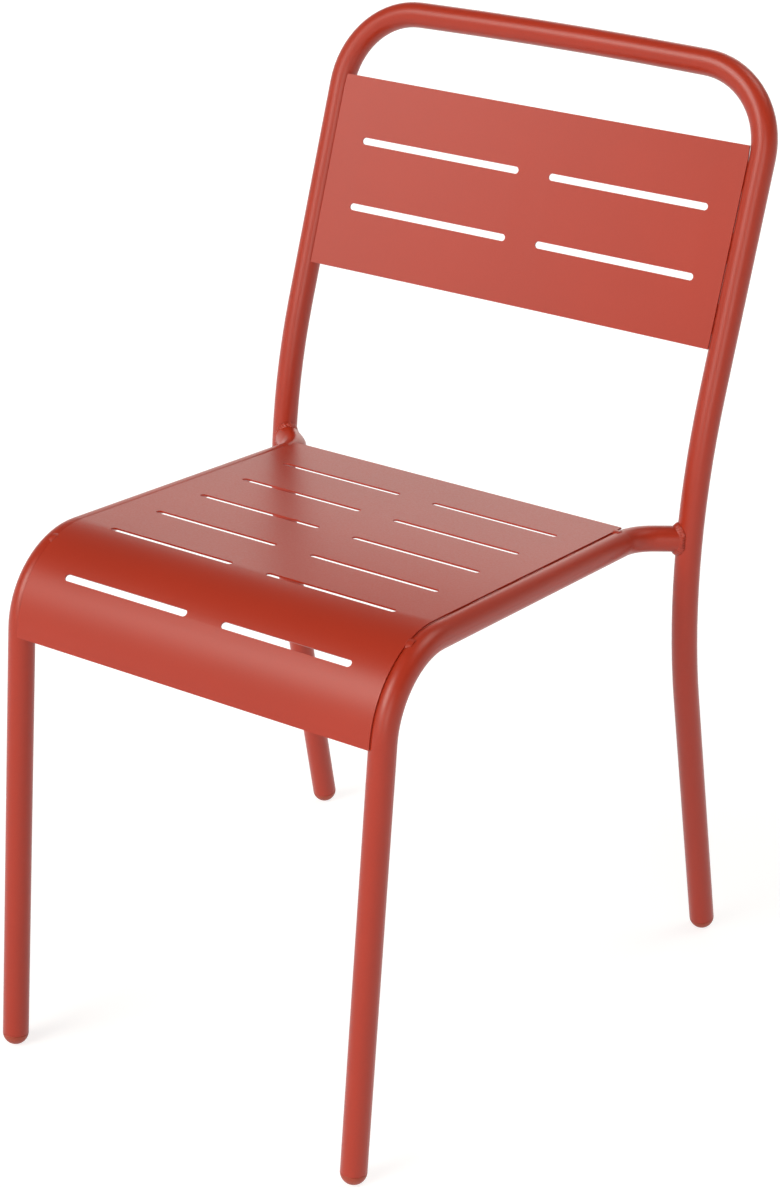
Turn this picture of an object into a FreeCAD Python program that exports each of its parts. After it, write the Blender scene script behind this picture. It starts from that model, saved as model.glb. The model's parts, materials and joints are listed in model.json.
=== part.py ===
import FreeCAD, Part
import math
import os

# Metal side chair: one bent back hoop, two bent side tubes, a slotted seat sheet
# that rolls over the front bend, a slotted bowed back sheet and four foot plugs.
# Millimetres. -Y is the front and +Z is up; left and right are as seen from the front.
# The origin is on the floor, under the middle of the chair's outer box.

# Stock
TUBE_R = 11.4
TUBE_WALL = 1.2
CROSS_R = 8.0
CROSS_WALL = 1.2
SHEET_T = 1.5

# Back hoop: rear legs, uprights and top rail in one tube
HOOP_HALF_WIDTH = 218.8
HOOP_BEND_Y = 145.8
HOOP_BEND_Z = 404.5
HOOP_BEND_R = 526.0
LEG_LEAN = math.radians(11.4)
BACK_LEAN = math.radians(19.9)
RAIL_Z = 801.5
RAIL_CORNER_R = 72.0
RAIL_RISE = 4.8
RAIL_CROWN_R = 6300.0

# Side tubes: front leg, seat rail and the outward bend to the upright
FRONT_FOOT_X = 182.2
FRONT_FOOT_Y = -291.6
FRONT_BEND_X = 184.4
FRONT_BEND_Y = -243.4
FRONT_BEND_Z = 455.8
FRONT_BEND_R = 69.8
REAR_BEND_X = 179.5
REAR_BEND_Y = 135.8
REAR_BEND_Z = 420.3
REAR_BEND_R = 40.0
JOINT_Z = 418.3
COPE_BLUNT = 7.5
COPE_GAP = 0.05

# Foot plugs: a ball end cut flat for the floor, with a finned stem in the tube
PLUG_HEIGHT = 10.2
PLUG_SEAM = 0.5
PLUG_FLOOR = 5.0
PLUG_CORE_R = 5.0
STEM_R = 8.7
STEM_LENGTH = 24.0
FIN_R = 10.1
FIN_T = 1.2
FIN_COUNT = 4

# Seat sheet
SEAT_LIFT = 10.3
SEAT_EDGE_IN = 5.1
SEAT_REAR_Y = 124.0
SEAT_LIP_DROP = 73.0
SEAT_SLOT_FIRST = 59.0
SEAT_SLOT_PITCH = 60.85
SEAT_TOP_ROWS = 5
SEAT_FRONT_SLOT = 369.2
SEAT_SLOT_INNER = 17.5
SEAT_SLOT_OUTER = 145.0
SEAT_CUT_DEPTH = 7.2
SLOT_WIDTH = 6.3

# Back sheet
BACK_HALF_WIDTH = 209.9
BACK_LOW = 184.5
BACK_HEIGHT = 176.0
BACK_FORWARD = 8.95
BACK_CORNER_IN = 0.9
BACK_CORNER_DOWN = 12.0
BACK_BOW = 10.8
BACK_SLOT_PITCH = 60.9
BACK_SLOT_INNER = 15.8
BACK_SLOT_OUTER = 180.7
BACK_CUT_DEPTH = 44.0

# Cross tubes under the seat
REAR_CROSS_Y = 113.0
FRONT_CROSS_TURN = math.radians(25.0)
CROSS_CLEAR = 0.1

# Welds
JOINT_WELD = 2.2
JOINT_WELD_RISE = 2.4
CROSS_WELD = 2.0
STITCH_R = 2.6
STITCH_LENGTH = 26.0
SEAT_STITCH_IN = 8.9
SEAT_STITCH_LIFT = 8.1
SEAT_STITCH_Y = [88.0, 16.0, -56.0, -128.0]
BACK_STITCH_IN = 10.1
BACK_STITCH_FORWARD = 5.2
BACK_STITCH_T = [198.0, 259.5, 321.0]

SIDES = {"left": -1, "right": 1}


def vec(x, y, z):
    return FreeCAD.Vector(x, y, z)


def unit(v):
    return v / v.Length


def mirrored(shape):
    return shape.mirror(vec(0, 0, 0), vec(1, 0, 0))


def on_side(shape, side):
    """A shape drawn for the +X side, moved to the named side."""
    return shape if SIDES[side] > 0 else mirrored(shape)


# Paths and tubes

def rounded_edges(points, radii):
    """Straight runs through the points, with a tangent arc at each inner one."""
    edges = []
    start = points[0]
    for before, corner, after, radius in zip(points, points[1:], points[2:], radii):
        back = unit(before - corner)
        ahead = unit(after - corner)
        middle = unit(back + ahead)
        half_angle = back.getAngle(ahead) / 2
        reach = radius / math.tan(half_angle)
        to_arc = radius / math.sin(half_angle) - radius
        arc_start = corner + back * reach
        arc_end = corner + ahead * reach
        edges.append(Part.makeLine(start, arc_start))
        edges.append(Part.Arc(arc_start, corner + middle * to_arc, arc_end).toShape())
        start = arc_end
    edges.append(Part.makeLine(start, points[-1]))
    return edges


def rod(path, radius):
    """A solid round bar along the path."""
    first = path.Edges[0]
    start = first.valueAt(first.FirstParameter)
    along = first.tangentAt(first.FirstParameter)
    section = Part.Wire(Part.makeCircle(radius, start, along))
    return path.makePipeShell([section], True, False)


def lean_vector(angle):
    """Upward unit vector in the middle plane, leaning back by the angle."""
    return vec(0, math.sin(angle), math.cos(angle))


# Back hoop

LEG_UP = lean_vector(-LEG_LEAN)
BACK_UP = lean_vector(BACK_LEAN)
BACK_OUT = vec(0, -math.cos(BACK_LEAN), math.sin(BACK_LEAN))
BEND = vec(0, HOOP_BEND_Y, HOOP_BEND_Z)
REAR_FOOT = BEND - LEG_UP * ((HOOP_BEND_Z - PLUG_HEIGHT) / math.cos(LEG_LEAN))


def hoop_path():
    half = vec(HOOP_HALF_WIDTH, 0, 0)
    corner = BEND + BACK_UP * ((RAIL_Z - HOOP_BEND_Z) / math.cos(BACK_LEAN))
    crown = corner + BACK_UP * RAIL_RISE
    points = [REAR_FOOT + half, BEND + half, corner + half, crown]
    points += [corner - half, BEND - half, REAR_FOOT - half]
    radii = [HOOP_BEND_R, RAIL_CORNER_R, RAIL_CROWN_R, RAIL_CORNER_R, HOOP_BEND_R]
    return Part.Wire(rounded_edges(points, radii))


def upright_y(z):
    """Y of the upright's centreline at a height within its long bend."""
    inward = unit(BACK_UP - LEG_UP)
    half_turn = (LEG_LEAN + BACK_LEAN) / 2
    centre = BEND + inward * (HOOP_BEND_R / math.cos(half_turn))
    return centre.y - math.sqrt(HOOP_BEND_R ** 2 - (z - centre.z) ** 2)


HOOP_PATH = hoop_path()
HOOP_ROD = rod(HOOP_PATH, TUBE_R)


def back_hoop():
    return HOOP_ROD.cut(rod(HOOP_PATH, TUBE_R - TUBE_WALL))


# Side tubes, drawn for the +X side

FRONT_BEND = vec(FRONT_BEND_X, FRONT_BEND_Y, FRONT_BEND_Z)
REAR_BEND = vec(REAR_BEND_X, REAR_BEND_Y, REAR_BEND_Z)
FLOOR_POINT = vec(FRONT_FOOT_X, FRONT_FOOT_Y, 0)
FRONT_FOOT = FLOOR_POINT + (FRONT_BEND - FLOOR_POINT) * (PLUG_HEIGHT / FRONT_BEND_Z)
JOINT = vec(HOOP_HALF_WIDTH, upright_y(JOINT_Z), JOINT_Z)
TO_JOINT = unit(JOINT - REAR_BEND)


def side_path():
    points = [FRONT_FOOT, FRONT_BEND, REAR_BEND, JOINT - TO_JOINT * COPE_BLUNT]
    return Part.Wire(rounded_edges(points, [FRONT_BEND_R, REAR_BEND_R]))


SIDE_PATH = side_path()
COPE_TOOL = rod(HOOP_PATH, TUBE_R + COPE_GAP)
SIDE_ROD = rod(SIDE_PATH, TUBE_R).cut(COPE_TOOL)


def side_tube(side):
    tube = SIDE_ROD.cut(rod(SIDE_PATH, TUBE_R - TUBE_WALL))
    return on_side(tube, side)


# Foot plugs

def plug_profile():
    """Half section of a plug: the ball end is below 0, the stem above."""
    rim_r = math.sqrt(TUBE_R ** 2 - PLUG_SEAM ** 2)
    low = vec(0, 0, -TUBE_R)
    on_ball = vec(TUBE_R * math.sin(math.pi / 4), 0, -TUBE_R * math.cos(math.pi / 4))
    rim = vec(rim_r, 0, -PLUG_SEAM)
    corners = [rim, vec(rim_r - PLUG_SEAM, 0, 0), vec(STEM_R, 0, 0)]
    pitch = STEM_LENGTH / (FIN_COUNT + 1)
    for fin in range(1, FIN_COUNT + 1):
        z = fin * pitch
        corners += [vec(STEM_R, 0, z), vec(FIN_R, 0, z), vec(FIN_R, 0, z + FIN_T), vec(STEM_R, 0, z + FIN_T)]
    corners += [vec(STEM_R, 0, STEM_LENGTH), vec(PLUG_CORE_R, 0, STEM_LENGTH)]
    corners += [vec(PLUG_CORE_R, 0, -PLUG_FLOOR), vec(0, 0, -PLUG_FLOOR), low]
    edges = [Part.Arc(low, on_ball, rim).toShape()]
    edges += [Part.makeLine(a, b) for a, b in zip(corners, corners[1:])]
    return Part.Face(Part.Wire(edges))


def foot_plug(centre, leg_up):
    plug = plug_profile().revolve(vec(0, 0, 0), vec(0, 0, 1), 360)
    plug.Placement = FreeCAD.Placement(centre, FreeCAD.Rotation(vec(0, 0, 1), leg_up))
    below = Part.makeBox(4 * TUBE_R, 4 * TUBE_R, TUBE_R)
    below.translate(vec(centre.x - 2 * TUBE_R, centre.y - 2 * TUBE_R, -TUBE_R))
    return plug.cut(below)


def rear_plug(side):
    return on_side(foot_plug(REAR_FOOT + vec(HOOP_HALF_WIDTH, 0, 0), LEG_UP), side)


def front_plug(side):
    return on_side(foot_plug(FRONT_FOOT, unit(FRONT_BEND - FLOOR_POINT)), side)


# Seat sheet: its section lies in the YZ plane, outside the side tubes' centreline

def in_plane(v):
    return vec(0, v.y, v.z)


RAIL_AHEAD = unit(in_plane(FRONT_BEND - REAR_BEND))
LEG_DOWN = unit(in_plane(FRONT_FOOT - FRONT_BEND))
RAIL_OUT = vec(0, RAIL_AHEAD.z, -RAIL_AHEAD.y)
LEG_OUT = vec(0, LEG_DOWN.z, -LEG_DOWN.y)
FRONT_TURN = RAIL_AHEAD.getAngle(LEG_DOWN)
FRONT_REACH = FRONT_BEND_R * math.tan(FRONT_TURN / 2)
RAIL_CORNER = in_plane(FRONT_BEND)
BEND_START = RAIL_CORNER - RAIL_AHEAD * FRONT_REACH
BEND_CENTRE = BEND_START - RAIL_OUT * FRONT_BEND_R
SHEET_REAR = in_plane(REAR_BEND) + RAIL_AHEAD * ((REAR_BEND_Y - SEAT_REAR_Y) / -RAIL_AHEAD.y)
SEAT_TOP = SEAT_LIFT + SHEET_T


def seat_offset_line(lift):
    """Points of the seat's section at a lift from the tubes' centreline."""
    spread = (RAIL_OUT + LEG_OUT) * (lift / (1 + RAIL_OUT.dot(LEG_OUT)))
    lip = RAIL_CORNER + LEG_DOWN * SEAT_LIP_DROP
    return [SHEET_REAR + RAIL_OUT * lift, RAIL_CORNER + spread, lip + LEG_OUT * lift]


def seat_station(distance):
    """Point and outward normal on the top face, at a distance forward of the rear edge."""
    flat = (BEND_START - SHEET_REAR).Length
    if distance <= flat:
        return SHEET_REAR + RAIL_OUT * SEAT_TOP + RAIL_AHEAD * distance, RAIL_OUT
    radius = FRONT_BEND_R + SEAT_TOP
    turn = (distance - flat) / radius
    normal = RAIL_OUT * math.cos(turn) + RAIL_AHEAD * math.sin(turn)
    return BEND_CENTRE + normal * radius, normal


def rail_point(y):
    """The point of the seat rail's centreline at a Y."""
    return REAR_BEND + (FRONT_BEND - REAR_BEND) * ((y - REAR_BEND_Y) / (FRONT_BEND_Y - REAR_BEND_Y))


def between_side_planes(inset):
    """The block between the side tubes' own planes, each moved inward by the inset."""
    outward = unit((FRONT_BEND - REAR_BEND).cross(FLOOR_POINT - FRONT_BEND))
    corners = []
    for y, z in ((REAR_BEND_Y, 0), (REAR_BEND_Y, RAIL_Z), (FRONT_FOOT_Y, RAIL_Z), (FRONT_FOOT_Y, 0)):
        slope = outward.y * (y - FRONT_BEND_Y) + outward.z * (z - FRONT_BEND_Z) + inset
        corners.append(vec(FRONT_BEND_X - slope / outward.x, y, z))
    right = Part.makePolygon(corners + corners[:1])
    return Part.makeLoft([right, mirrored(right)], True, True)


def slot_cutter(middle, normal, inner, outer, depth):
    """Round-ended bar along X from inner to outer, running through a sheet."""
    r = SLOT_WIDTH / 2
    across = normal.cross(vec(1, 0, 0)) * r
    base = middle - normal * (depth / 2)
    near = base + vec(inner + r, 0, 0)
    far = base + vec(outer - r, 0, 0)
    corners = [near - across, far - across, far + across, near + across, near - across]
    bar = Part.Face(Part.makePolygon(corners)).extrude(normal * depth)
    ends = [Part.makeCylinder(r, depth, point, normal) for point in (near, far)]
    return bar.multiFuse(ends).removeSplitter()


def seat_panel():
    top = seat_offset_line(SEAT_TOP)
    under = seat_offset_line(SEAT_LIFT)
    edges = rounded_edges(top, [FRONT_BEND_R + SEAT_TOP])
    edges.append(Part.makeLine(top[-1], under[-1]))
    edges += rounded_edges(under, [FRONT_BEND_R + SEAT_LIFT])
    edges.append(Part.makeLine(under[0], top[0]))
    section = Part.Face(Part.Wire(Part.sortEdges(edges)[0]))
    section.translate(vec(-FRONT_BEND_X, 0, 0))
    sheet = section.extrude(vec(2 * FRONT_BEND_X, 0, 0)).common(between_side_planes(SEAT_EDGE_IN))
    distances = [SEAT_SLOT_FIRST + row * SEAT_SLOT_PITCH for row in range(SEAT_TOP_ROWS)]
    cutters = []
    for distance in distances + [SEAT_FRONT_SLOT]:
        point, normal = seat_station(distance)
        cutter = slot_cutter(point, normal, SEAT_SLOT_INNER, SEAT_SLOT_OUTER, SEAT_CUT_DEPTH)
        cutters += [cutter, mirrored(cutter)]
    return sheet.cut(Part.makeCompound(cutters))


# Back sheet, bowed back in the middle

def back_point(x, along, forward):
    """A point by its X, its distance up the uprights from their bend, and forward of them."""
    return BEND + vec(x, 0, 0) + BACK_UP * along + BACK_OUT * forward


def back_corner_cutters():
    """Slim wedges that take the sheet's top corners clear of the hoop's corner bends."""
    top = BACK_LOW + BACK_HEIGHT
    corners = [back_point(BACK_HALF_WIDTH, top - BACK_CORNER_DOWN, TUBE_R),
               back_point(BACK_HALF_WIDTH - BACK_CORNER_IN, top, TUBE_R),
               back_point(HOOP_HALF_WIDTH, top, TUBE_R),
               back_point(HOOP_HALF_WIDTH, top - BACK_CORNER_DOWN, TUBE_R)]
    wedge = Part.Face(Part.makePolygon(corners + corners[:1])).extrude(BACK_OUT * -TUBE_R)
    return [wedge, mirrored(wedge)]


def back_panel():
    bow_r = (BACK_HALF_WIDTH ** 2 + BACK_BOW ** 2) / (2 * BACK_BOW)
    tilt = math.asin(BACK_HALF_WIDTH / bow_r)
    behind_x = BACK_HALF_WIDTH + SHEET_T * math.sin(tilt)
    behind = BACK_FORWARD - SHEET_T * math.cos(tilt)
    front = [back_point(-BACK_HALF_WIDTH, BACK_LOW, BACK_FORWARD),
             back_point(0, BACK_LOW, BACK_FORWARD - BACK_BOW),
             back_point(BACK_HALF_WIDTH, BACK_LOW, BACK_FORWARD)]
    rear = [back_point(behind_x, BACK_LOW, behind),
            back_point(0, BACK_LOW, BACK_FORWARD - BACK_BOW - SHEET_T),
            back_point(-behind_x, BACK_LOW, behind)]
    section = Part.Face(Part.Wire([Part.Arc(*front).toShape(), Part.makeLine(front[2], rear[0]),
                                   Part.Arc(*rear).toShape(), Part.makeLine(rear[2], front[0])]))
    sheet = section.extrude(BACK_UP * BACK_HEIGHT)
    cutters = back_corner_cutters()
    for side_of_middle in (-1, 1):
        along = BACK_LOW + BACK_HEIGHT / 2 + side_of_middle * BACK_SLOT_PITCH / 2
        middle = back_point(0, along, 0)
        cutter = slot_cutter(middle, BACK_OUT, BACK_SLOT_INNER, BACK_SLOT_OUTER, BACK_CUT_DEPTH)
        cutters += [cutter, mirrored(cutter)]
    return sheet.cut(Part.makeCompound(cutters))


# Cross tubes between the side tubes, under the seat sheet

SIDE_RODS = Part.makeCompound([SIDE_ROD, mirrored(SIDE_ROD)])
CROSS_LIFT = SEAT_LIFT - CROSS_R - CROSS_CLEAR


def rear_cross_centre():
    along = (SEAT_REAR_Y - REAR_CROSS_Y) / -RAIL_AHEAD.y
    return SHEET_REAR + RAIL_AHEAD * along + RAIL_OUT * CROSS_LIFT


def front_cross_centre():
    normal = RAIL_OUT * math.cos(FRONT_CROSS_TURN) + RAIL_AHEAD * math.sin(FRONT_CROSS_TURN)
    return BEND_CENTRE + normal * (FRONT_BEND_R + CROSS_LIFT)


def cross_rod(centre, radius):
    """A bar along X between the side tubes' centrelines."""
    reach = rail_point(centre.y).x
    return Part.makeCylinder(radius, 2 * reach, centre - vec(reach, 0, 0), vec(1, 0, 0))


def cross_tube(centre):
    return cross_rod(centre, CROSS_R).cut(cross_rod(centre, CROSS_R - CROSS_WALL)).cut(SIDE_RODS)


# Welds

def rear_joint_weld(side):
    """The bead round the side tube where it meets the upright."""
    start = JOINT - TO_JOINT * (TUBE_R + 2 * JOINT_WELD)
    collar = Part.makeCylinder(TUBE_R + JOINT_WELD, TUBE_R, start, TO_JOINT)
    bead = collar.common(rod(HOOP_PATH, TUBE_R + JOINT_WELD_RISE))
    return on_side(bead.cut(HOOP_ROD).cut(rod(SIDE_PATH, TUBE_R)), side)


def seat_welds(side, seat):
    """Short beads under the sheet's edge, in the groove over the seat rail."""
    along = unit(FRONT_BEND - REAR_BEND)
    beads = []
    for y in SEAT_STITCH_Y:
        middle = rail_point(y) + RAIL_OUT * SEAT_STITCH_LIFT - vec(SEAT_STITCH_IN, 0, 0)
        bead = Part.makeCylinder(STITCH_R, STITCH_LENGTH, middle - along * (STITCH_LENGTH / 2), along)
        beads.append(bead.cut(SIDE_ROD).cut(seat))
    return on_side(Part.makeCompound(beads), side)


def back_welds(side, panel):
    """Short beads behind the back sheet's edge, against the upright."""
    beads = []
    for along in BACK_STITCH_T:
        start = back_point(HOOP_HALF_WIDTH - BACK_STITCH_IN, along, BACK_STITCH_FORWARD)
        bead = Part.makeCylinder(STITCH_R, STITCH_LENGTH, start, BACK_UP)
        beads.append(bead.cut(HOOP_ROD).cut(panel))
    return on_side(Part.makeCompound(beads), side)


def cross_welds(side, seat):
    """The beads round both cross tubes' ends on one side tube."""
    shell = rod(SIDE_PATH, TUBE_R + CROSS_WELD)
    beads = []
    for centre in (rear_cross_centre(), front_cross_centre()):
        start = centre + vec(rail_point(centre.y).x - 2 * TUBE_R, 0, 0)
        collar = Part.makeCylinder(CROSS_R + CROSS_WELD, 2 * TUBE_R, start, vec(1, 0, 0))
        bead = collar.common(shell).cut(SIDE_ROD).cut(cross_rod(centre, CROSS_R)).cut(seat)
        beads.append(bead)
    return on_side(Part.makeCompound(beads), side)


def build():
    seat = seat_panel()
    back = back_panel()
    parts = {
        "back_hoop": back_hoop(),
        "seat_panel": seat,
        "back_panel": back,
        "rear_cross_tube": cross_tube(rear_cross_centre()),
        "front_cross_tube": cross_tube(front_cross_centre()),
    }
    for side in SIDES:
        parts["side_tube_" + side] = side_tube(side)
        parts["foot_plug_front_" + side] = front_plug(side)
        parts["foot_plug_rear_" + side] = rear_plug(side)
        parts["rear_joint_weld_" + side] = rear_joint_weld(side)
        parts["seat_welds_" + side] = seat_welds(side, seat)
        parts["back_welds_" + side] = back_welds(side, back)
        parts["cross_tube_welds_" + side] = cross_welds(side, seat)
    return parts


os.makedirs("parts", exist_ok=True)
box = FreeCAD.BoundBox()
for node, shape in build().items():
    shape.exportStep("parts/" + node + ".step")
    box.add(shape.optimalBoundingBox())
    print(node, "solids", len(shape.Solids), "valid", shape.isValid(), "volume", round(shape.Volume, 1))
print("box", box)
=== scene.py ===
import json
import math

import bmesh
import bpy
from mathutils import Matrix, Vector


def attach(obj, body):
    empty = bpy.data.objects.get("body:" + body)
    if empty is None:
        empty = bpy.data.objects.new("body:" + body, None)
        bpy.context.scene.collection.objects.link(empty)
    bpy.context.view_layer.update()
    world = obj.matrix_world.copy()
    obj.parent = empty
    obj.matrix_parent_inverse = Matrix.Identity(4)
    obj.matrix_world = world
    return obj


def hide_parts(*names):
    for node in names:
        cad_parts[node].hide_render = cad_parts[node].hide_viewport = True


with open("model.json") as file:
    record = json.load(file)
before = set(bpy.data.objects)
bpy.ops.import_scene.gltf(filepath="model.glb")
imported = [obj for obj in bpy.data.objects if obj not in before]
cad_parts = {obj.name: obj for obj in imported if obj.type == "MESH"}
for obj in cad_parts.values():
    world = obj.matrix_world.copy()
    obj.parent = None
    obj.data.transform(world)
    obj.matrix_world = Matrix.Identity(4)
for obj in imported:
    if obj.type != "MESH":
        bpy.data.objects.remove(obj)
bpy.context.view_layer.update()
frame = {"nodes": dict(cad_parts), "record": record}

# Camera: the direction in degrees that it looks from, its distance in metres from a point over the
# origin, its offsets across the view, and its lens and sensor in mm
AZIMUTH = 34.607
ELEVATION = 24.703
DISTANCE = 2.54564
LOOK_HEIGHT = 0.430
SHIFT_RIGHT = 0.01465
SHIFT_UP = -0.05300
LENS = 59.56
SENSOR = 24.0

# Light: pale walls to a low height, dim above them, and soft boxes, each (level, azimuth, elevation,
# half width, falloff), with the azimuth from the front towards +X
WALL_TOP = math.radians(11.0)
UPPER_START = math.radians(24.0)
WALL_LEVEL = 0.76
UPPER_LEVEL = 0.18
BOXES = {
    "key": (6.5, -24.0, 38.0, 13.0, 50.0),
    "front_low": (1.5, -8.0, 15.0, 8.0, 50.0),
    "fill": (2.7, 33.0, 19.0, 10.0, 60.0),
    "back_low": (1.15, 204.0, 14.0, 12.0, 22.0),
    "back_high": (2.7, 147.0, 55.0, 11.0, 50.0),
}
LIGHT_TINT = (1.0, 0.975, 0.91, 1)
FLOOR_HALF = 14.0
FLOOR_GLOW = 0.76
FLOOR_SEEN = (0.42, 0.42, 0.42, 1)
FLOOR_PLAIN = (0.80, 0.80, 0.80, 1)
WHITE = (1, 1, 1, 1)

# Rear joints, in mm: the tubes, then the weld bead round each side tube where it meets the upright.
# The crotches are over and under the side tube, and the flanks are at its sides.
MM = 0.001
TUBE_R = 11.4
UPRIGHT_X = 218.8
UPRIGHT_BEND_Y = 145.8
UPRIGHT_BEND_Z = 404.5
UPRIGHT_BEND_R = 526.0
LEG_LEAN = math.radians(11.4)
BACK_LEAN = math.radians(19.9)
RAIL_END = Vector((179.5, 135.8, 420.3))
JOINT_Z = 418.3
TUBE_END = 7.5
BEAD_STANDOFF = 8.4
BEAD_CREST = 0.45
BEAD_HALF_CROTCH = 3.4
BEAD_HALF_FLANK = 1.9
BEAD_FILLET_CROTCH = 7.0
BEAD_FILLET_FLANK = 1.5
BEAD_TOE = 0.06
BEAD_ROOT = 1.3
RIPPLE_PITCH = 2.3
RIPPLE_HEIGHT = 0.15
RIPPLE_CURVE = 0.10
BEAD_STATIONS = 176
BEAD_ROWS = 19
ROOT_ROWS = (0.5, -0.5)
BISECT_STEPS = 30
SETTLE_STEPS = 12

# Finish: linear colours, and what all coats share; DRIFT_SCALE is per metre
COAT = (0.395, 0.027, 0.0075)
WELD_SHADE = 0.96
PLUG = (0.36, 0.046, 0.018)
COAT_IOR = 1.5
DRIFT_SCALE = 7.0
DRIFT_DETAIL = 3.0
DRIFT_SHARE = 0.6
SPECK_DETAIL = 2.0
SPECK_ROUGHNESS = 0.6
PEEL_DETAIL = 1.5
TONE_LOW = 0.35
TONE_HIGH = 0.65
SPECK_LOW = 0.3
SPECK_HIGH = 0.7
ROUGHNESS_SPREAD = 0.05

# Sockets of the colour mix node
MIX_FACTOR = 0
MIX_DARK = 6
MIX_LIGHT = 7
MIX_RESULT = 2


def node_tree(data):
    data.use_nodes = True
    tree = data.node_tree
    tree.nodes.clear()
    return tree


def add(tree, kind, **inputs):
    """A node with its input sockets set or linked, by name or by position (in0, in1...)."""
    node = tree.nodes.new(kind)
    for key, value in inputs.items():
        by_position = key.startswith("in") and key[2:].isdigit()
        socket = node.inputs[int(key[2:]) if by_position else key.replace("_", " ")]
        if isinstance(value, bpy.types.NodeSocket):
            tree.links.new(value, socket)
        else:
            socket.default_value = value
    return node


def math_node(tree, operation, a, b=0.0):
    node = add(tree, "ShaderNodeMath", in0=a, in1=b)
    node.operation = operation
    return node.outputs[0]


def ranged(tree, value, low, high, to_low, to_high):
    """The value's range low to high, mapped to to_low to to_high and clamped."""
    limits = {"From_Min": low, "From_Max": high, "To_Min": to_low, "To_Max": to_high}
    return add(tree, "ShaderNodeMapRange", Value=value, **limits).outputs["Result"]


def noise(tree, where, scale, detail, roughness=0.5):
    node = add(tree, "ShaderNodeTexNoise", Vector=where, Scale=scale, Detail=detail, Roughness=roughness)
    return node.outputs["Fac"]


def tinted(tree, factor, dark, light):
    node = tree.nodes.new("ShaderNodeMix")
    node.data_type = "RGBA"
    tree.links.new(factor, node.inputs[MIX_FACTOR])
    node.inputs[MIX_DARK].default_value = (*dark, 1)
    node.inputs[MIX_LIGHT].default_value = (*light, 1)
    return node.outputs[MIX_RESULT]


def scaled(colour, factor):
    return tuple(c * factor for c in colour)


def coat_material(name, colour, roughness, mottle, speck_size, peel_size, peel_depth):
    """Satin coat: slow tone drift, a fine speck and a shallow orange peel, sizes in metres."""
    material = bpy.data.materials.new(name)
    tree = node_tree(material)
    where = add(tree, "ShaderNodeTexCoord").outputs["Object"]
    drift = noise(tree, where, DRIFT_SCALE, DRIFT_DETAIL)
    speck = noise(tree, where, 1 / speck_size, SPECK_DETAIL, SPECK_ROUGHNESS)
    drift_part = math_node(tree, "MULTIPLY", drift, DRIFT_SHARE)
    speck_part = math_node(tree, "MULTIPLY", speck, 1 - DRIFT_SHARE)
    tone = ranged(tree, math_node(tree, "ADD", drift_part, speck_part), TONE_LOW, TONE_HIGH, 0.0, 1.0)
    base = tinted(tree, tone, scaled(colour, 1 - mottle), scaled(colour, 1 + mottle))
    smoothest, roughest = roughness - ROUGHNESS_SPREAD, roughness + ROUGHNESS_SPREAD
    rough = ranged(tree, speck, SPECK_LOW, SPECK_HIGH, smoothest, roughest)
    peel = noise(tree, where, 1 / peel_size, PEEL_DETAIL)
    bump = add(tree, "ShaderNodeBump", Strength=1.0, Distance=peel_depth, Height=peel)
    shader = add(tree, "ShaderNodeBsdfPrincipled", Base_Color=base, Roughness=rough, Normal=bump.outputs[0])
    shader.inputs["IOR"].default_value = COAT_IOR
    add(tree, "ShaderNodeOutputMaterial", Surface=shader.outputs[0])
    return material


PAINTS = {
    "painted_tube": coat_material("terracotta_tube", COAT, roughness=0.33, mottle=0.045,
                                  speck_size=0.0016, peel_size=0.0022, peel_depth=0.00003),
    "painted_sheet": coat_material("terracotta_sheet", COAT, roughness=0.36, mottle=0.040,
                                   speck_size=0.0016, peel_size=0.0024, peel_depth=0.00003),
    "painted_weld": coat_material("terracotta_weld", scaled(COAT, WELD_SHADE), roughness=0.40, mottle=0.060,
                                  speck_size=0.0012, peel_size=0.0016, peel_depth=0.00005),
    "plug_plastic": coat_material("terracotta_plug", PLUG, roughness=0.48, mottle=0.060,
                                  speck_size=0.0008, peel_size=0.0007, peel_depth=0.00004),
}


def paint_nodes():
    """Each node shown as it is takes its slot's finish."""
    for part in frame["record"]["subparts"]:
        for slot in frame["nodes"][part["node"]].material_slots:
            slot.material = PAINTS[part["material_slot"]]


paint_nodes()


# Rear joint weld beads, drawn for the +X side

def upright_centre():
    """Centre of the upright's long bend, as (y, z)."""
    half_turn = (LEG_LEAN + BACK_LEAN) / 2
    inward = (BACK_LEAN - LEG_LEAN) / 2
    reach = UPRIGHT_BEND_R / math.cos(half_turn)
    return UPRIGHT_BEND_Y + reach * math.cos(inward), UPRIGHT_BEND_Z - reach * math.sin(inward)


BEND_Y, BEND_Z = upright_centre()
JOINT = Vector((UPRIGHT_X, BEND_Y - math.sqrt(UPRIGHT_BEND_R ** 2 - (JOINT_Z - BEND_Z) ** 2), JOINT_Z))
TO_JOINT = (JOINT - RAIL_END).normalized()
AROUND_UP = (Vector((0, 0, 1)) - TO_JOINT * TO_JOINT.z).normalized()
AROUND_SIDE = TO_JOINT.cross(AROUND_UP)


def off_upright(point):
    """Height over the upright's surface, and the outward normal."""
    flat = Vector((point.y - BEND_Y, point.z - BEND_Z))
    away = flat.length - UPRIGHT_BEND_R
    out = Vector((point.x - UPRIGHT_X, away * flat.x / flat.length, away * flat.y / flat.length))
    return out.length - TUBE_R, out.normalized()


def from_side_axis(point):
    """Distance back along the side tube's axis, and the offset square to it."""
    out = point - JOINT
    back = -out.dot(TO_JOINT)
    return back, out + TO_JOINT * back


def off_side_tube(point):
    """Height over the side tube's surface or its cut end, and the outward normal."""
    back, out = from_side_axis(point)
    wall = out.length - TUBE_R
    past = TUBE_END - back
    if past < 0 or past < wall:
        return wall, out.normalized()
    if wall < 0:
        return past, TO_JOINT
    corner = TO_JOINT * past + out.normalized() * wall
    return corner.length, corner.normalized()


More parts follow.
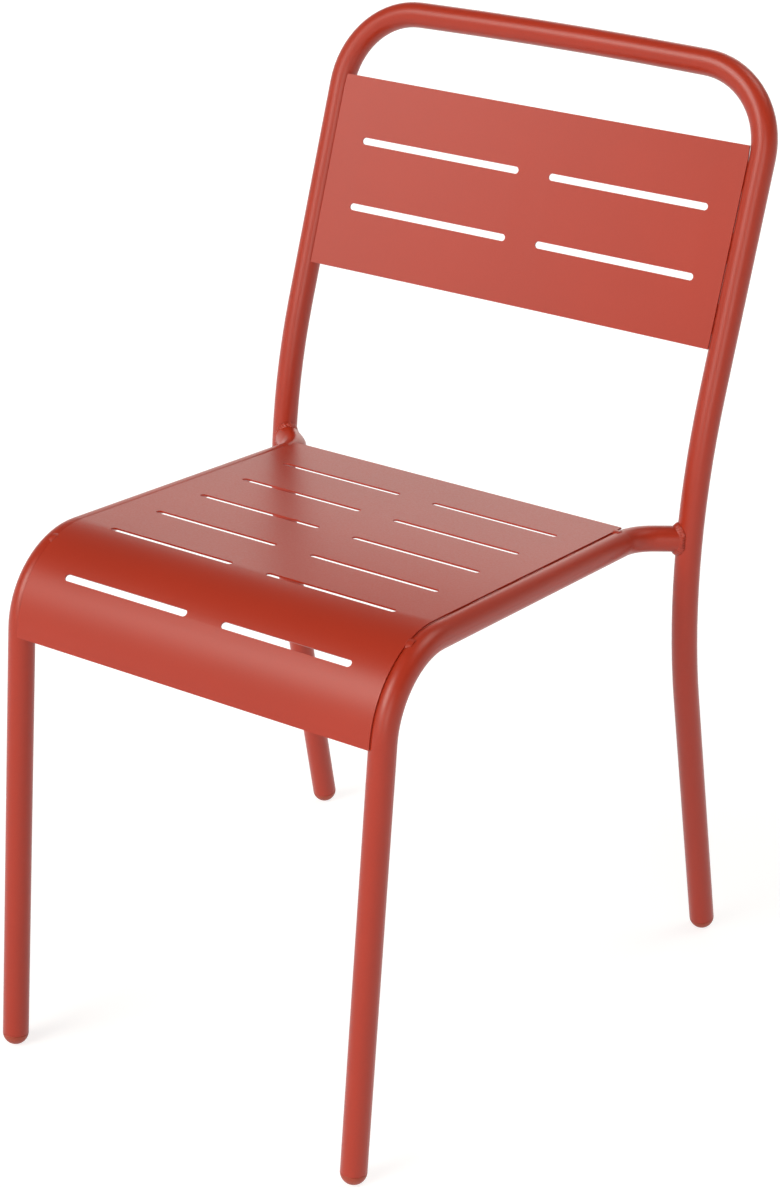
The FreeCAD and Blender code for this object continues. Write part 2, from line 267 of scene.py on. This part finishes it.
def side_tube_point(angle, back):
    """Point on the side tube's surface at an angle round it and a distance back from the upright's axis."""
    around = AROUND_UP * math.cos(angle) + AROUND_SIDE * math.sin(angle)
    return JOINT - TO_JOINT * back + around * TUBE_R


def meeting_distance(angle):
    """How far back from the upright's axis the two surfaces meet at this angle."""
    inside, outside = 0.0, 2 * TUBE_R
    for _ in range(BISECT_STEPS):
        middle = (inside + outside) / 2
        if off_upright(side_tube_point(angle, middle))[0] < 0:
            inside = middle
        else:
            outside = middle
    return inside


def over_tubes(point):
    """Height over both tubes blended by a fillet, and the normal."""
    up_gap, up_normal = off_upright(point)
    side_gap, side_normal = off_side_tube(point)
    crossing = 1 - max(0.0, up_normal.dot(from_side_axis(point)[1].normalized()))
    fillet = BEAD_FILLET_FLANK + (BEAD_FILLET_CROTCH - BEAD_FILLET_FLANK) * crossing
    share = min(1.0, max(0.0, 0.5 + (side_gap - up_gap) / (2 * fillet)))
    height = side_gap * (1 - share) + up_gap * share - fillet * share * (1 - share)
    return height, (side_normal * (1 - share) + up_normal * share).normalized()


def settle(point, height):
    """The point moved along the normal to this height over the tubes."""
    for _ in range(SETTLE_STEPS):
        gap, normal = over_tubes(point)
        point = point - normal * (gap - height)
    return point


def bead_middle(angle):
    """How far back from the upright's axis the bead's middle runs: the meeting distance or the standoff."""
    return (meeting_distance(angle) ** 4 + BEAD_STANDOFF ** 4) ** 0.25


def bead_start(angle, middle, across):
    """Where a bead point starts, this far across the bead from its middle.

    Positive goes back along the side tube, negative out over the upright.
    """
    start = side_tube_point(angle, middle)
    if across >= 0:
        return start - TO_JOINT * across
    side_normal = off_side_tube(start)[1]
    up_normal = off_upright(start)[1]
    climb = side_normal + TO_JOINT * side_normal.dot(up_normal)
    climb = (climb - up_normal * climb.dot(up_normal)).normalized()
    point = start - climb * across
    gap, up_normal = off_upright(point)
    return point - up_normal * gap


def bead_section(angle, travelled):
    """One closed section of the bead: the rippled top from toe to toe, and the buried root."""
    middle = bead_middle(angle)
    half = BEAD_HALF_FLANK + (BEAD_HALF_CROTCH - BEAD_HALF_FLANK) * meeting_distance(angle) / TUBE_R
    section = []
    for row in range(BEAD_ROWS):
        across = 2 * row / (BEAD_ROWS - 1) - 1
        dome = 1 - across ** 2
        phase = (travelled + RIPPLE_CURVE * (across * half) ** 2) / RIPPLE_PITCH
        ripple = RIPPLE_HEIGHT * dome * math.cos(2 * math.pi * phase)
        height = (BEAD_CREST + BEAD_TOE) * dome - BEAD_TOE + ripple
        section.append(settle(bead_start(angle, middle, across * half), height))
    for across in ROOT_ROWS:
        section.append(settle(bead_start(angle, middle, across * half), -BEAD_ROOT))
    return section


def mesh_piece(name, points, faces, slot, node):
    """A smooth mesh, drawn in mm, that stands for a solid's node."""
    mesh = bpy.data.meshes.new(name)
    mesh.from_pydata([p * MM for p in points], [], faces)
    mesh.polygons.foreach_set("use_smooth", [True] * len(mesh.polygons))
    shape = bmesh.new()
    shape.from_mesh(mesh)
    bmesh.ops.recalc_face_normals(shape, faces=shape.faces)
    shape.to_mesh(mesh)
    shape.free()
    mesh.materials.append(PAINTS[slot])
    piece = bpy.data.objects.new(name, mesh)
    bpy.context.scene.collection.objects.link(piece)
    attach(piece, "root")
    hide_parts(node)


def ring_faces(stations, rows):
    """Quads of a closed band that is closed across as well."""
    faces = []
    for i in range(stations):
        j = (i + 1) % stations
        for k in range(rows):
            m = (k + 1) % rows
            faces.append((i * rows + k, i * rows + m, j * rows + m, j * rows + k))
    return faces


def joint_bead_points():
    """All sections round the side tube, with a whole number of ripples."""
    angles = [2 * math.pi * i / BEAD_STATIONS for i in range(BEAD_STATIONS + 1)]
    line = [side_tube_point(a, bead_middle(a)) for a in angles]
    travelled = [0.0]
    for i in range(BEAD_STATIONS):
        travelled.append(travelled[-1] + (line[i + 1] - line[i]).length)
    ripples = round(travelled[-1] / RIPPLE_PITCH)
    stretch = ripples * RIPPLE_PITCH / travelled[-1]
    points = []
    for i in range(BEAD_STATIONS):
        points += bead_section(angles[i], travelled[i] * stretch)
    return points


def joint_beads():
    points = joint_bead_points()
    faces = ring_faces(BEAD_STATIONS, BEAD_ROWS + len(ROOT_ROWS))
    for side, sign in (("right", 1), ("left", -1)):
        placed = [Vector((p.x * sign, p.y, p.z)) for p in points]
        mesh_piece("joint_bead_" + side, placed, faces, "painted_weld", "rear_joint_weld_" + side)


joint_beads()


# Studio

def towards(azimuth, elevation):
    """Unit vector towards a direction in degrees, with the azimuth from the front towards +X."""
    a, e = math.radians(azimuth), math.radians(elevation)
    return Vector((math.sin(a) * math.cos(e), -math.cos(a) * math.cos(e), math.sin(e)))


def box_level(tree, direction, level, azimuth, elevation, half_width, falloff):
    """A soft box's light: even within its half width, fading smoothly beyond it."""
    dot = add(tree, "ShaderNodeVectorMath", in0=direction, in1=towards(azimuth, elevation))
    dot.operation = "DOT_PRODUCT"
    off = math_node(tree, "SUBTRACT", dot.outputs["Value"], math.cos(math.radians(half_width)))
    fade = math_node(tree, "EXPONENT", math_node(tree, "MULTIPLY", off, falloff))
    return math_node(tree, "MULTIPLY", math_node(tree, "MINIMUM", fade, 1.0), level)


def studio_world():
    """Pale walls, a dim ceiling and the soft boxes."""
    world = bpy.data.worlds.new("studio")
    bpy.context.scene.world = world
    tree = node_tree(world)
    direction = add(tree, "ShaderNodeTexCoord").outputs["Generated"]
    height = add(tree, "ShaderNodeSeparateXYZ", Vector=direction).outputs["Z"]
    level = ranged(tree, height, math.sin(WALL_TOP), math.sin(UPPER_START), WALL_LEVEL, UPPER_LEVEL)
    for box in BOXES.values():
        level = math_node(tree, "ADD", level, box_level(tree, direction, *box))
    lights = add(tree, "ShaderNodeBackground", Color=LIGHT_TINT, Strength=level)
    add(tree, "ShaderNodeOutputWorld", Surface=lights.outputs[0])


def floor_material():
    """Pale floor. To the camera, and in reflections, most of its white is its own."""
    material = bpy.data.materials.new("pale_floor")
    tree = node_tree(material)
    path = add(tree, "ShaderNodeLightPath").outputs
    seen = math_node(tree, "MAXIMUM", path["Is Camera Ray"], path["Is Glossy Ray"])
    seen = math_node(tree, "MAXIMUM", seen, path["Is Transmission Ray"])
    plain = add(tree, "ShaderNodeBsdfDiffuse", Color=FLOOR_PLAIN)
    part = add(tree, "ShaderNodeBsdfDiffuse", Color=FLOOR_SEEN)
    glow = add(tree, "ShaderNodeEmission", Color=WHITE, Strength=FLOOR_GLOW)
    lit = add(tree, "ShaderNodeAddShader", in0=part.outputs[0], in1=glow.outputs[0])
    mix = add(tree, "ShaderNodeMixShader", in0=seen, in1=plain.outputs[0], in2=lit.outputs[0])
    add(tree, "ShaderNodeOutputMaterial", Surface=mix.outputs[0])
    return material


def studio_floor():
    bpy.ops.mesh.primitive_plane_add(size=2 * FLOOR_HALF, location=(0, 0, 0))
    floor = bpy.context.object
    floor.name = "studio_floor"
    floor.data.materials.append(floor_material())


def photo_camera():
    """The camera that took the photo, as solved from the chair's edges."""
    forward = -towards(AZIMUTH, ELEVATION)
    azimuth = math.radians(AZIMUTH)
    right = Vector((math.cos(azimuth), math.sin(azimuth), 0))
    up = right.cross(forward)
    lens = bpy.data.cameras.new("camera")
    lens.sensor_fit = "VERTICAL"
    lens.sensor_height = SENSOR
    lens.lens = LENS
    camera = bpy.data.objects.new("camera", lens)
    bpy.context.scene.collection.objects.link(camera)
    place = Vector((0, 0, LOOK_HEIGHT)) - forward * DISTANCE + right * SHIFT_RIGHT + up * SHIFT_UP
    turn = Matrix((right, up, -forward)).transposed().to_4x4()
    camera.matrix_world = Matrix.Translation(place) @ turn
    bpy.context.scene.camera = camera


studio_world()
studio_floor()
photo_camera()
bpy.context.scene.view_settings.view_transform = "Standard"
